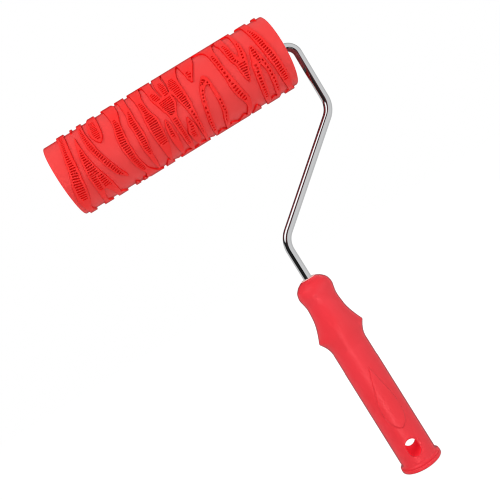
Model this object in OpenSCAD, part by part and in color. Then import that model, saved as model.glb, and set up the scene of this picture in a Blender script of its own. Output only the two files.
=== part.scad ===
// Textured pattern roller: a relief-moulded rubber sleeve on a cranked wire frame.
// Origin: centre of the handle's butt face. +Z runs up the handle, the roller spins about X.

/* [Sleeve] */
// Length of the rubber sleeve, end to end
sleeve_len = 178; // [150:1:230]
// Diameter of the smooth ground between the raised ridges
ground_d = 53.8; // [50:0.2:62]
// Height of the ridges above the ground
relief = 1.4; // [0.8:0.1:2]
// Plain band left at each end of the sleeve
plain_end = 9; // [6:1:20]
// Corner radius at the sleeve's two rims
rim_round = 1.4; // [0.6:0.2:2]

/* [Core and end hubs] */
// Outer diameter of the rigid core tube
core_d = 44; // [40:0.5:46]
// Wall thickness of the core tube
core_wall = 2; // [1.5:0.5:3]
// Length of each end hub
hub_len = 25; // [22:1:32]
// Wall thickness of the end hub
hub_wall = 2.5; // [2:0.5:3.5]
// Number of stiffening ribs behind each hub web
hub_ribs = 6; // [4:1:10]
// Outer diameter of the plain bearing bush
bush_d = 11; // [10:0.5:13]

/* [Wire frame] */
// Diameter of the bent steel wire
wire_d = 6.35; // [5:0.05:8]
// Height of the spin axis above the butt face
axis_height = 302.5; // [270:0.5:330]
// Offset of the sleeve's middle from the handle's axis
sleeve_offset = 20.6; // [0:0.2:40]
// Gap from the sleeve's end to the middle of the wire's drop leg
shoulder_reach = 11.6; // [10:0.2:24]
// How far the drop leg leans inwards before the knee
leg_lean = 1.2; // [0:0.2:8]
// Height of the knee, where the wire turns inwards
knee_height = 248.8; // [220:0.2:260]
// Height of the elbow, where the wire turns down into the handle
elbow_height = 184.4; // [172:0.2:200]
// Bend radius at the shoulder
shoulder_bend = 8.5; // [8:0.5:16]
// Bend radius at the knee and the elbow
knee_bend = 17; // [10:1:24]
// Length of wire held inside the handle
tang_len = 60; // [40:1:60]

/* [Handle] */
// Diameter of the straight grip
grip_d = 27.2; // [26.6:0.1:27.4]
// Diameter of the plain neck between the thumb pads and the wings
neck_d = 26.9; // [26.4:0.1:27]
// Overall length of the handle
handle_len = 155; // [150:1:160]
// How far each side wing stands out from the shoulder
wing_out = 4.4; // [0:0.2:6]
// Diameter of the flange round the butt end
butt_d = 31; // [29:0.2:34]
// Thickness of the butt flange
butt_t = 3.2; // [2.4:0.2:5]
// Width of the hanging slot
slot_w = 9.3; // [6:0.1:11]
// Length of the hanging slot
slot_l = 13.3; // [12:0.1:16]
// Height of the slot's middle above the butt face
slot_z = 16.3; // [14:0.1:20]
// How far the leaf-shaped thumb pads stand proud of the grip
pad_proud = 0.4; // [0.2:0.1:0.8]

/* [Hidden] */

// Gaps
press_gap = 0.02;
running_gap = 0.05;
washer_gap = 0.2;
stack_gap = 0.05;

// Sleeve and core
ground_r = ground_d / 2;
ridge_r = ground_r + relief;
core_r = core_d / 2;
core_bore_r = core_r - core_wall;
flange_t = 1.5;
sleeve_x = -sleeve_offset;
half_len = sleeve_len / 2;

// Axial stations, measured inwards from a sleeve end
bush_flange_t = 1.2;
boss_at = 13;
web_t = 2.5;
washer_t = 1;
washer_at = boss_at - bush_flange_t - washer_gap - washer_t;
spring_t = 1.5;
spring_at = washer_at - stack_gap - spring_t;
nut_t = 5.5;
nut_at = spring_at - stack_gap - nut_t;
collar_len = 4.5;
collar_at = washer_at - stack_gap - collar_len;
wire_end_at = nut_at - 1.2;
hub_bore_r = core_bore_r - hub_wall;
boss_r = bush_d / 2 + 3;
wire_r = wire_d / 2;
nut_across_flats = 11.1;
cap_t = 0.9;
cap_spigot = 4;

// Wire path, as [x, z] corners with a bend radius at each inner corner
shoulder_x = sleeve_x + half_len + shoulder_reach;
tang_end = handle_len - tang_len;
WIRE_PATH = [
  [sleeve_x - half_len + wire_end_at, axis_height],
  [shoulder_x, axis_height],
  [shoulder_x - leg_lean, knee_height],
  [0, elbow_height],
  [0, tang_end]
];
WIRE_BENDS = [0, shoulder_bend, knee_bend, knee_bend, 0];
bend_lap = 0.3;
bend_swell = 0.02;

// Ridges on the sleeve: middle along the axis, angle round the sleeve, half spread
// in degrees, widest width, and lean along the axis over the spread.
RIDGES = [
  [-79, -5, 70, 8, -5], [-67, -20, 52, 9, 1], [-57, 0, 72, 5, 6], [-50, 40, 38, 8, 0],
  [-38, -5, 75, 6, 2], [-26, -3, 66, 5, -1], [-14, -6, 62, 9, 1], [-1, 5, 74, 9, 2],
  [12, 12, 66, 6, 1], [23, 58, 38, 8, 0], [23, -34, 44, 4, -6], [32, -40, 48, 4, 2],
  [45, -8, 72, 5, 5], [58, 12, 44, 7, 2], [67, -46, 40, 9, 0], [77, -6, 74, 6, 5],
  [-72, 160, 66, 8, 6], [-59, 176, 52, 7, -4], [-44, 165, 70, 8, 5], [-31, 180, 60, 6, -3],
  [-17, 172, 64, 9, 3], [-3, 186, 56, 6, -4], [10, 170, 66, 8, 4], [24, 178, 58, 6, -2],
  [38, 168, 66, 8, 5], [52, 182, 60, 7, -5], [65, 172, 64, 6, 3], [77, 178, 60, 6, -3]
];

// Handle head, from the straight grip up to the nose: height, half width, half depth
grip_r = grip_d / 2;
neck_r = neck_d / 2;
neck_z = 83;
neck_taper = 2;
head_z = 97;
wing_z = 109;
nose_r = 4.3;
nose_z = handle_len - 0.4;
HEAD = [
  [head_z - 2, neck_r - 0.3, neck_r - 0.3], [head_z + 1, neck_r, neck_r + 0.1],
  [wing_z - 6, grip_r - 0.1, grip_r + 0.5], [wing_z, grip_r, grip_r + 1.2],
  [wing_z + 8, grip_r - 0.2, grip_r + 1.1], [wing_z + 16, grip_r - 0.9, grip_r - 0.2],
  [handle_len - 21, 12.1, 12.2], [handle_len - 16.5, 12.7, 12.6], [handle_len - 12.3, 13.5, 13.1],
  [handle_len - 8, 12.75, 12.4], [handle_len - 5.8, 11.35, 11.1], [handle_len - 3.7, 9.25, 9.1],
  [handle_len - 1.8, 6.3, 6.3], [nose_z, nose_r, nose_r]
];
head_steps = 3;
head_sides = 40;
wing_up = 17;
wing_down = 11;
wing_power = 1.9;

// Thumb pad outline
pad_bottom = 32.5;
pad_top = 80.3;
pad_half_w = 7.6;
pad_steps = 14;
pad_tip_shift = 2;

// Colours
red = [0.95, 0.17, 0.17];
handle_red = [0.93, 0.22, 0.26];
chrome = [0.78, 0.79, 0.8];
dark = [0.16, 0.16, 0.17];
white = [0.88, 0.88, 0.86];

// ---- helpers ----

// Points of an arc, for turned profiles
function arc(cx, cy, r, from, to, steps = 6) =
  [for (i = [0:steps]) let (a = from + (to - from) * i / steps) [cx + r * cos(a), cy + r * sin(a)]];

// Lays a child that runs along +Z from zero so that it starts `at` inwards from the near end
module from_near_end(at) {
  translate([sleeve_x + half_len - at, 0, axis_height]) rotate([0, -90, 0]) children();
}

// The same from the far end
module from_far_end(at) {
  translate([sleeve_x - half_len + at, 0, axis_height]) rotate([0, 90, 0]) children();
}

// A plain ring standing on the XY plane
module ring(outer_r, inner_r, h) {
  difference() {
    cylinder(r = outer_r, h = h, $fn = 72);
    translate([0, 0, -1]) cylinder(r = inner_r, h = h + 2, $fn = 72);
  }
}

// ---- roller ----

// Ground of the sleeve: a turned tube with rounded rims
module sleeve_ground() {
  turned = concat(
    [[core_r + press_gap, -half_len]],
    arc(ground_r - rim_round, rim_round - half_len, rim_round, -90, 0),
    arc(ground_r - rim_round, half_len - rim_round, rim_round, 0, 90),
    [[core_r + press_gap, half_len]]
  );
  rotate([0, 90, 0]) rotate_extrude($fn = 96) polygon(turned);
}

// One leaf-shaped ridge, pointed at both ends, cut from the ridge cylinder by two planes
module leaf_ridge(x, angle, spread, width, lean) {
  base = ground_r * cos(spread);
  top = ridge_r + 1;
  half = width / 2 * (top - base) / (ground_r - base);
  intersection() {
    rotate([0, 90, 0]) cylinder(r = ridge_r, h = sleeve_len - 2 * plain_end, center = true, $fn = 96);
    rotate([-angle, 0, 0]) translate([x, 0, 0]) rotate([0, atan(lean / ground_r), 0])
      linear_extrude(height = 3 * ridge_r, center = true)
        polygon([[0, -base], [-half, -top], [half, -top]]);
  }
}

module pattern_sleeve() {
  color(red) translate([sleeve_x, 0, axis_height]) difference() {
    union() {
      sleeve_ground();
      for (r = RIDGES) leaf_ridge(r[0], r[1], r[2], r[3], r[4]);
    }
    rotate([0, 90, 0]) cylinder(r = core_r + press_gap, h = sleeve_len + 2, center = true, $fn = 96);
  }
}

module core_tube() {
  color(white) from_near_end(flange_t) ring(core_r, core_bore_r, sleeve_len - 2 * flange_t);
}

// End hub: flanged cup with a ribbed web and a boss for the bearing bush
module end_hub() {
  outer = core_bore_r - press_gap;
  difference() {
    union() {
      cylinder(r = core_r - press_gap, h = flange_t, $fn = 72);
      cylinder(r = outer, h = hub_len, $fn = 72);
    }
    translate([0, 0, -1]) cylinder(r = hub_bore_r, h = boss_at + 1, $fn = 72);
    translate([0, 0, boss_at + web_t]) difference() {
      cylinder(r = hub_bore_r, h = hub_len, $fn = 72);
      translate([0, 0, -1]) cylinder(r = boss_r, h = hub_len + 2, $fn = 72);
      for (i = [0:hub_ribs - 1]) rotate([0, 0, i * 360 / hub_ribs])
        translate([0, -0.8, -1]) cube([hub_bore_r + 1, 1.6, hub_len - boss_at - web_t]);
    }
    translate([0, 0, boss_at - 1]) cylinder(r = bush_d / 2 + press_gap, h = hub_len, $fn = 72);
  }
}

module near_hub() { color(dark) from_near_end(0) end_hub(); }
module far_hub() { color(dark) from_far_end(0) end_hub(); }

// Flanged plain bush that turns on the wire
module bush() {
  difference() {
    union() {
      cylinder(r = boss_r - 0.5, h = bush_flange_t, $fn = 72);
      cylinder(r = bush_d / 2, h = bush_flange_t + hub_len - boss_at, $fn = 72);
    }
    translate([0, 0, -1]) cylinder(r = wire_r + running_gap, h = hub_len, $fn = 72);
  }
}

module near_bush() { color(white) from_near_end(boss_at - bush_flange_t) bush(); }
module far_bush() { color(white) from_far_end(boss_at - bush_flange_t) bush(); }

// Snap-in cover over the hub's recess
module end_cap(hole_r) {
  spigot_r = hub_bore_r - press_gap;
  translate([0, 0, -cap_t]) difference() {
    union() {
      rotate_extrude($fn = 72) polygon(concat(
        [[0, cap_t], [0, 0]], arc(spigot_r + 1, 0.8, 0.8, -90, 0), [[spigot_r + 1.8, cap_t]]
      ));
      translate([0, 0, cap_t - 0.1]) ring(spigot_r, spigot_r - 1.5, cap_spigot);
    }
    if (hole_r > 0) translate([0, 0, -1]) cylinder(r = hole_r, h = cap_t + 2, $fn = 72);
  }
}

module near_cap() { color(red) from_near_end(0) end_cap(wire_r + 1.6); }
module far_cap() { color(red) from_far_end(0) end_cap(0); }

// ---- frame hardware ----

module thrust_washer() { ring(7.5, wire_r + press_gap, washer_t); }
module near_washer() { color(chrome) from_near_end(washer_at) thrust_washer(); }
module far_washer() { color(chrome) from_far_end(washer_at) thrust_washer(); }

module stop_collar() {
  color(chrome) from_near_end(collar_at) ring(5.6, wire_r + press_gap, collar_len);
}

// Split spring washer under the nut
module spring_washer() {
  color(chrome) from_far_end(spring_at) difference() {
    ring(5.4, wire_r + press_gap, spring_t);
    rotate([0, 18, 0]) translate([0, -0.6, -3]) cube([8, 1.2, 8]);
  }
}

// Hexagon nut with its corners turned off at both faces
module lock_nut() {
  corner_r = nut_across_flats / 2 / cos(30);
  color(chrome) from_far_end(nut_at) difference() {
    intersection() {
      cylinder(r = corner_r, h = nut_t, $fn = 6);
      rotate_extrude($fn = 72) polygon([
        [0, 0], [corner_r - 0.9, 0], [corner_r + 0.1, 0.6], [corner_r + 0.1, nut_t - 0.6],
        [corner_r - 0.9, nut_t], [0, nut_t]
      ]);
    }
    translate([0, 0, -1]) cylinder(r = wire_r + press_gap, h = nut_t + 2, $fn = 72);
  }
}

// ---- wire frame ----

function unit(v) = v / norm(v);
function heading(v) = atan2(v[1], v[0]);
function turn(i) = let (
  a = heading(WIRE_PATH[i] - WIRE_PATH[i - 1]), b = heading(WIRE_PATH[i + 1] - WIRE_PATH[i])
) (b - a > 180 ? b - a - 360 : b - a < -180 ? b - a + 360 : b - a);
function trim(i) = WIRE_BENDS[i] == 0 ? 0 : WIRE_BENDS[i] * tan(abs(turn(i)) / 2);

// Straight stretch, run a little way into the bend at each end
module wire_leg(i) {
  along = unit(WIRE_PATH[i + 1] - WIRE_PATH[i]);
  lap_in = trim(i) > 0 ? bend_lap : 0;
  lap_out = trim(i + 1) > 0 ? bend_lap : 0;
  start = WIRE_PATH[i] + along * (trim(i) - lap_in);
  length = norm(WIRE_PATH[i + 1] - WIRE_PATH[i]) - trim(i) - trim(i + 1) + lap_in + lap_out;
  translate([start[0], start[1], 0]) rotate([0, 0, heading(along)]) rotate([0, 90, 0])
    cylinder(d = wire_d, h = length, $fn = 48);
}

// Bend at an inner corner of the path, a hair thicker than the wire where forming swelled it
module wire_bend(i) {
  along = unit(WIRE_PATH[i] - WIRE_PATH[i - 1]);
  start = WIRE_PATH[i] - along * trim(i);
  side = turn(i) > 0 ? 1 : -1;
  centre = start + side * WIRE_BENDS[i] * [-along[1], along[0]];
  from = heading(along) - side * 90 + min(turn(i), 0);
  translate([centre[0], centre[1], 0]) rotate([0, 0, from])
    rotate_extrude(angle = abs(turn(i)), $fn = 96)
      translate([WIRE_BENDS[i], 0]) circle(d = wire_d + bend_swell, $fn = 48);
}

module wire_frame() {
  color(chrome) rotate([90, 0, 0]) {
    for (i = [0:len(WIRE_PATH) - 2]) wire_leg(i);
    for (i = [1:len(WIRE_PATH) - 2]) wire_bend(i);
  }
}

// ---- handle ----

function slope(i, k) = (i == 0 || i == len(HEAD) - 1) ? 0
  : (HEAD[i + 1][k] - HEAD[i - 1][k]) / (HEAD[i + 1][0] - HEAD[i - 1][0]);
function smooth(i, t, k) = let (h = HEAD[i + 1][0] - HEAD[i][0])
  (2 * t * t * t - 3 * t * t + 1) * HEAD[i][k] + (t * t * t - 2 * t * t + t) * h * slope(i, k)
  + (3 * t * t - 2 * t * t * t) * HEAD[i + 1][k] + (t * t * t - t * t) * h * slope(i + 1, k);
function wing(z) = let (d = z - wing_z, reach = d > 0 ? wing_up : wing_down)
  abs(d) < reach ? wing_out * pow(1 - abs(d) / reach, wing_power) : 0;

// Levels of the head as [height, half width, half depth]
head_levels = [
  for (i = [0:len(HEAD) - 2]) for (j = [0:head_steps - 1]) let (t = j / head_steps)
    [HEAD[i][0] + (HEAD[i + 1][0] - HEAD[i][0]) * t, smooth(i, t, 1), smooth(i, t, 2)],
  HEAD[len(HEAD) - 1]
];
function head_ring(level) = [
  for (s = [0:head_sides - 1]) let (a = 360 * s / head_sides, w = wing(level[0]) * pow(abs(cos(a)), 3))
    [cos(a) * (level[1] + w), sin(a) * level[2], level[0]]
];

module handle_head() {
  n = head_sides;
  last = len(head_levels) - 1;
  points = [for (level = head_levels) each head_ring(level)];
  sides = [
    for (r = [0:last - 1]) for (s = [0:n - 1]) let (p = (s + 1) % n)
      each [[r * n + s, (r + 1) * n + s, (r + 1) * n + p], [r * n + s, (r + 1) * n + p, r * n + p]]
  ];
  polyhedron(points, concat([[for (s = [0:n - 1]) s]], sides, [[for (s = [n - 1:-1:0]) last * n + s]]));
}

// Straight grip with the flange at its butt end and a slightly thinner neck at its top
module handle_grip() {
  butt_r = butt_d / 2;
  edge = 1;
  fillet = 2.6;
  rotate_extrude($fn = 96) polygon(concat(
    [[0, 0]],
    arc(butt_r - edge, edge, edge, -90, 0),
    arc(butt_r - edge, butt_t - edge, edge, 0, 70),
    arc(grip_r + fillet, butt_t + fillet - 0.1, fillet, 250, 180),
    [[grip_r, neck_z - neck_taper], [neck_r, neck_z], [neck_r, head_z], [0, head_z]]
  ));
}

// Leaf outline of the thumb pad: round at the bottom, drawn out to a tip at the top
pad_outline = let (h = pad_top - pad_bottom) concat(
  [for (i = [0:pad_steps]) let (t = i / pad_steps)
    [pad_tip_shift * t * t + pad_half_w * sin(180 * pow(t, 0.62)) * (1 - 0.25 * t), pad_bottom + h * t]],
  [for (i = [pad_steps - 1:-1:1]) let (t = i / pad_steps)
    [pad_tip_shift * t * t - pad_half_w * sin(180 * pow(t, 0.62)) * (1 - 0.25 * t), pad_bottom + h * t]]
);

module thumb_pads() {
  intersection() {
    translate([0, 0, pad_bottom - 2]) cylinder(r = grip_r + pad_proud, h = pad_top - pad_bottom + 4, $fn = 96);
    rotate([90, 0, 0]) linear_extrude(height = 4 * grip_r, center = true) polygon(pad_outline);
  }
}

module hanging_slot() {
  shift = (slot_l - slot_w) / 2;
  rotate([90, 0, 0]) for (s = [-1, 1])
    translate([0, slot_z + s * shift, 0]) cylinder(d = slot_w, h = 3 * grip_r, center = true, $fn = 72);
  translate([0, 0, slot_z]) cube([slot_w, 3 * grip_r, 2 * shift], center = true);
}

module handle() {
  color(handle_red) difference() {
    union() {
      handle_grip();
      thumb_pads();
      handle_head();
    }
    hanging_slot();
    translate([0, 0, tang_end - 2]) cylinder(r = wire_r + press_gap, h = handle_len, $fn = 72);
  }
}

pattern_sleeve();
core_tube();
near_hub();
far_hub();
near_bush();
far_bush();
near_cap();
far_cap();
near_washer();
far_washer();
stop_collar();
spring_washer();
lock_nut();
wire_frame();
handle();
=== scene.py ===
"""Looks for the textured pattern roller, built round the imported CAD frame.

Lengths are millimetres in the CAD frame (+Z up the handle, the roller spins about X) and are scaled
to metres when a mesh is made. Only the floor, the softboxes and the camera's distance are in metres.
"""
import math

import bmesh
import bpy
import numpy as np
from mathutils import Matrix, Vector


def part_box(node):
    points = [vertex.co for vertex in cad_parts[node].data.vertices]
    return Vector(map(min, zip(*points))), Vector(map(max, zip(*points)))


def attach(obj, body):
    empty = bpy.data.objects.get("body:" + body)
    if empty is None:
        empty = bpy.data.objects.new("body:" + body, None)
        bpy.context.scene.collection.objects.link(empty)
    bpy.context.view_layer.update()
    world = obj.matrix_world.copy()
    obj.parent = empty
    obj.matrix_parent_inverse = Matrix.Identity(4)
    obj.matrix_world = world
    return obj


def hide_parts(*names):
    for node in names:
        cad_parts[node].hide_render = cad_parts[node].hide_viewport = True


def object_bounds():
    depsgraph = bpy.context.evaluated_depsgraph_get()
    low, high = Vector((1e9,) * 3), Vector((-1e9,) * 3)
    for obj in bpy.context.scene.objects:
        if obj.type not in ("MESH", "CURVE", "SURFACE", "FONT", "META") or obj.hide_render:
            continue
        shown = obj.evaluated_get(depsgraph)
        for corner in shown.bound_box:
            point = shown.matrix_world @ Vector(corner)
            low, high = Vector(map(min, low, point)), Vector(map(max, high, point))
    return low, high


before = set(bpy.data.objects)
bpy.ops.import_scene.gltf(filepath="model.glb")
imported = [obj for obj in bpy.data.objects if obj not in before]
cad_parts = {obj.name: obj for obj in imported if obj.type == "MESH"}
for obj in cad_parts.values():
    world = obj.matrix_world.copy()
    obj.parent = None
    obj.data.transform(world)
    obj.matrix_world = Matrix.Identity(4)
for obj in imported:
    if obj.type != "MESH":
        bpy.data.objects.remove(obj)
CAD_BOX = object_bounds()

MM = 0.001


def box_mm(node):
    """Lowest and highest corner of a CAD node, in millimetres."""
    low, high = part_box(node)
    return np.array(low) / MM, np.array(high) / MM


# ---------------------------------------------------------------- sizes

SLEEVE_LOW, SLEEVE_HIGH = box_mm("pattern_sleeve")
SLEEVE_X = (SLEEVE_LOW[0] + SLEEVE_HIGH[0]) / 2
AXIS_Z = (SLEEVE_LOW[2] + SLEEVE_HIGH[2]) / 2
SLEEVE_HALF = (SLEEVE_HIGH[0] - SLEEVE_LOW[0]) / 2
RIDGE_R = (SLEEVE_HIGH[2] - SLEEVE_LOW[2]) / 2
RELIEF = 1.4
GROUND_R = RIDGE_R - RELIEF
SLOT_SINK = 0.3
BORE_R = 22.02
RIM_ROUND = 0.8

FREE_END_X, _, TANG_END = box_mm("wire_frame")[0]
WIRE_R = 6.35 / 2

HANDLE_LOW, HANDLE_HIGH = box_mm("handle")
CAP_LOW, CAP_HIGH = box_mm("near_cap")


# ---------------------------------------------------------------- helpers

def smoothstep(t):
    """0 below 0, 1 above 1 and a smooth change between."""
    t = np.clip(t, 0.0, 1.0)
    return t * t * (3.0 - 2.0 * t)


def curve_through(knots, at):
    """Smooth curve through (position, value) knots, evaluated at the given positions."""
    knots = np.array(sorted(knots), float)
    xs, ys = knots[:, 0], knots[:, 1]
    slopes = np.zeros(len(xs))
    slopes[1:-1] = (ys[2:] - ys[:-2]) / (xs[2:] - xs[:-2])
    slopes[0] = (ys[1] - ys[0]) / (xs[1] - xs[0])
    slopes[-1] = (ys[-1] - ys[-2]) / (xs[-1] - xs[-2])
    at = np.clip(np.asarray(at, float), xs[0], xs[-1])
    i = np.clip(np.searchsorted(xs, at, side="right") - 1, 0, len(xs) - 2)
    gap = xs[i + 1] - xs[i]
    t = (at - xs[i]) / gap
    rise = (2 * t**3 - 3 * t**2 + 1) * ys[i] + (3 * t**2 - 2 * t**3) * ys[i + 1]
    bend = (t**3 - 2 * t**2 + t) * slopes[i] + (t**3 - t**2) * slopes[i + 1]
    return rise + gap * bend


def arc_points(cx, cy, radius, start, end, steps):
    """Points of an arc between two angles in degrees, both ends included."""
    angles = np.radians(np.linspace(start, end, steps + 1))
    return [(cx + radius * math.cos(a), cy + radius * math.sin(a)) for a in angles]


def full_turn(sides):
    """Evenly spaced angles round a circle, in radians."""
    return np.arange(sides) * 2 * math.pi / sides


def new_object(name, points, faces, material):
    """A mesh object made from millimetre points, with its faces turned outward."""
    mesh = bpy.data.meshes.new(name)
    mesh.from_pydata((np.asarray(points, float) * MM).tolist(), [], faces)
    mesh.validate()
    work = bmesh.new()
    work.from_mesh(mesh)
    bmesh.ops.recalc_face_normals(work, faces=work.faces)
    work.to_mesh(mesh)
    work.free()
    mesh.materials.append(material)
    piece = bpy.data.objects.new(name, mesh)
    bpy.context.scene.collection.objects.link(piece)
    return piece


def shade_smooth(piece, sharp_angle):
    """Smooth shading that keeps edges sharper than the angle crisp."""
    piece.data.polygons.foreach_set("use_smooth", [True] * len(piece.data.polygons))
    piece.data.set_sharp_from_angle(angle=math.radians(sharp_angle))


def ring_faces(rings, sides, closed=False):
    """Quads between successive rings of points; closed joins the last ring to the first."""
    faces = []
    for r in range(rings if closed else rings - 1):
        low, high = r * sides, (r + 1) % rings * sides
        for s in range(sides):
            nxt = (s + 1) % sides
            faces.append((low + s, low + nxt, high + nxt, high + s))
    return faces


def end_discs(rings, sides):
    """Faces that close the first and the last ring of points."""
    last = (rings - 1) * sides
    return [tuple(range(sides))[::-1], tuple(range(last, last + sides))]


# ---------------------------------------------------------------- shader nodes

def set_inputs(tree, node, inputs):
    """Feeds each named or numbered input with a plain value or with another node's output."""
    for name, value in inputs.items():
        socket = node.inputs[name]
        if isinstance(value, bpy.types.NodeSocket):
            tree.links.new(value, socket)
        elif socket.type == "RGBA":
            socket.default_value = (*value, 1.0)
        else:
            socket.default_value = value


def add_node(tree, kind, inputs=None, **settings):
    """A new shader node with its settings and inputs."""
    node = tree.nodes.new("ShaderNode" + kind)
    for name, value in settings.items():
        setattr(node, name, value)
    set_inputs(tree, node, inputs or {})
    return node


def new_material(name):
    """A node material; returns it with its node tree and its Principled shader."""
    material = bpy.data.materials.new(name)
    material.use_nodes = True
    tree = material.node_tree
    return material, tree, tree.nodes["Principled BSDF"]


def place_on_object(tree):
    """The object's own coordinates."""
    return add_node(tree, "TexCoord").outputs["Object"]


def noise(tree, scale, detail=2.0):
    """Soft noise that sticks to the piece; a larger scale gives finer patches."""
    texture = add_node(tree, "TexNoise", {"Vector": place_on_object(tree), "Scale": scale, "Detail": detail})
    return texture.outputs["Fac"]


def ramp(tree, source, stops):
    """Colour ramp with (position, colour) stops."""
    node = add_node(tree, "ValToRGB", {"Fac": source})
    elements = node.color_ramp.elements
    while len(elements) < len(stops):
        elements.new(0.5)
    for element, (position, colour) in zip(elements, stops):
        element.position = position
        element.color = (*colour, 1.0)
    return node.outputs["Color"]


def mottle(tree, patches, dark, light):
    """Two close colours in soft patches."""
    return ramp(tree, patches, [(0.3, dark), (0.7, light)])


def map_range(tree, source, low, high):
    """Maps 0..1 to low..high."""
    return add_node(tree, "MapRange", {"Value": source, "To Min": low, "To Max": high}).outputs["Result"]


def smooth_edge(tree, source, low, high):
    """0 below low and 1 above high, with a smooth change between; low may be the larger one."""
    rising = low < high
    edge = add_node(tree, "MapRange", {
        "Value": source, "From Min": min(low, high), "From Max": max(low, high),
        "To Min": 0.0 if rising else 1.0, "To Max": 1.0 if rising else 0.0,
    }, interpolation_type="SMOOTHSTEP")
    return edge.outputs["Result"]


def maths(tree, operation, *values):
    """One operation on one value, or from left to right on several."""
    if len(values) == 1:
        return add_node(tree, "Math", {0: values[0]}, operation=operation).outputs[0]
    total = values[0]
    for value in values[1:]:
        total = add_node(tree, "Math", {0: total, 1: value}, operation=operation).outputs[0]
    return total


def one_minus(tree, value):
    """The value turned round: 0 becomes 1 and 1 becomes 0."""
    return maths(tree, "SUBTRACT", 1.0, value)


def vector_maths(tree, operation, first, second=(0.0, 0.0, 0.0)):
    """A vector, or the number that LENGTH and DOT_PRODUCT give."""
    node = add_node(tree, "VectorMath", {0: first, 1: second}, operation=operation)
    return node.outputs["Value" if operation in ("LENGTH", "DOT_PRODUCT") else "Vector"]


def grain(tree, scale, strength, depth_mm):
    """Fine bumps over the surface."""
    height = noise(tree, scale, 3.0)
    inputs = {"Height": height, "Strength": strength, "Distance": depth_mm * MM}
    return add_node(tree, "Bump", inputs).outputs["Normal"]


def blended(tree, colour, factor, other, blend="MIX"):
    """Blends a colour with another one as far as the factor says."""
    mix = add_node(tree, "Mix", {0: factor}, data_type="RGBA", blend_type=blend)
    set_inputs(tree, mix, {6: colour, 7: other})
    return mix.outputs[2]


def tinted(tree, colour, factor, tint):
    """Multiplies a colour by a tint as far as the factor says."""
    return blended(tree, colour, factor, tint, "MULTIPLY")


def rim_factor(tree, start, end):
    """0 where the surface faces the viewer, rising to 1 where it turns away at the outline."""
    facing = add_node(tree, "LayerWeight", {"Blend": 0.5}).outputs["Facing"]
    return smooth_edge(tree, facing, start, end)


def seen_in_mirror(tree):
    """1 for rays that come by way of the chrome, which shows the roller's shaded side; red parts are painted
    darker for these rays as painted shade.
    """
    return add_node(tree, "LightPath").outputs["Is Glossy Ray"]


def radius_from_axis(tree):
    """Distance from the roller's axis in metres."""
    from_axis = vector_maths(tree, "SUBTRACT", place_on_object(tree), (0.0, 0.0, AXIS_Z * MM))
    flat = vector_maths(tree, "MULTIPLY", from_axis, (0.0, 1.0, 1.0))
    return vector_maths(tree, "LENGTH", flat)


def radius_and_height(tree):
    """Distance from the handle's own axis and height above its butt, in metres."""
    x, y, z = add_node(tree, "SeparateXYZ", {0: place_on_object(tree)}).outputs
    squares = maths(tree, "ADD", maths(tree, "MULTIPLY", x, x), maths(tree, "MULTIPLY", y, y))
    return maths(tree, "SQRT", squares), z


# ---------------------------------------------------------------- materials

# Painted shade: tints that darken the plastic's outline, the red parts as the chrome mirrors them and the
# rubber's outline.
PLASTIC_OUTLINE_SHADE = (0.42, 0.45, 0.55)
MIRROR_SHADE_TINT = (0.27, 0.4, 0.55)
RUBBER_OUTLINE_SHADE = (0.62, 0.5, 0.55)
# Painted highlight: a pale ring painted on the lip round the wire's mouth, out to this radius.
LIP_HIGHLIGHT_COLOUR = (0.95, 0.6, 0.56)
LIP_HIGHLIGHT_R = 5.75
# Strength of the painted light: the red glow of the rubber's slots and of its walls.
SLOT_PAINTED_LIGHT = 0.08
WALL_PAINTED_LIGHT = 0.055


def grey(level):
    """A colour with the same red, green and blue."""
    return level, level, level


def outer_skin(tree):
    """0 on the walls of the hanging slot and the middle of the butt's face, 1 on the rest of the handle."""
    radius, z = radius_and_height(tree)
    inner = maths(tree, "LESS_THAN", radius, (GRIP_R - 1.0) * MM)
    low = maths(tree, "LESS_THAN", z, (SLOT_Z + SLOT_L) * MM)
    return one_minus(tree, maths(tree, "MULTIPLY", inner, low))


def painted_lip_highlight(tree):
    """1 on the lip round the wire's mouth, where a pale ring is painted as a painted highlight, and 0
    elsewhere on the handle.
    """
    radius, z = radius_and_height(tree)
    near = maths(tree, "LESS_THAN", radius, LIP_HIGHLIGHT_R * MM)
    high = maths(tree, "GREATER_THAN", z, (MOUTH_TOP - 1.0) * MM)
    return maths(tree, "MULTIPLY", near, high)


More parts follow.
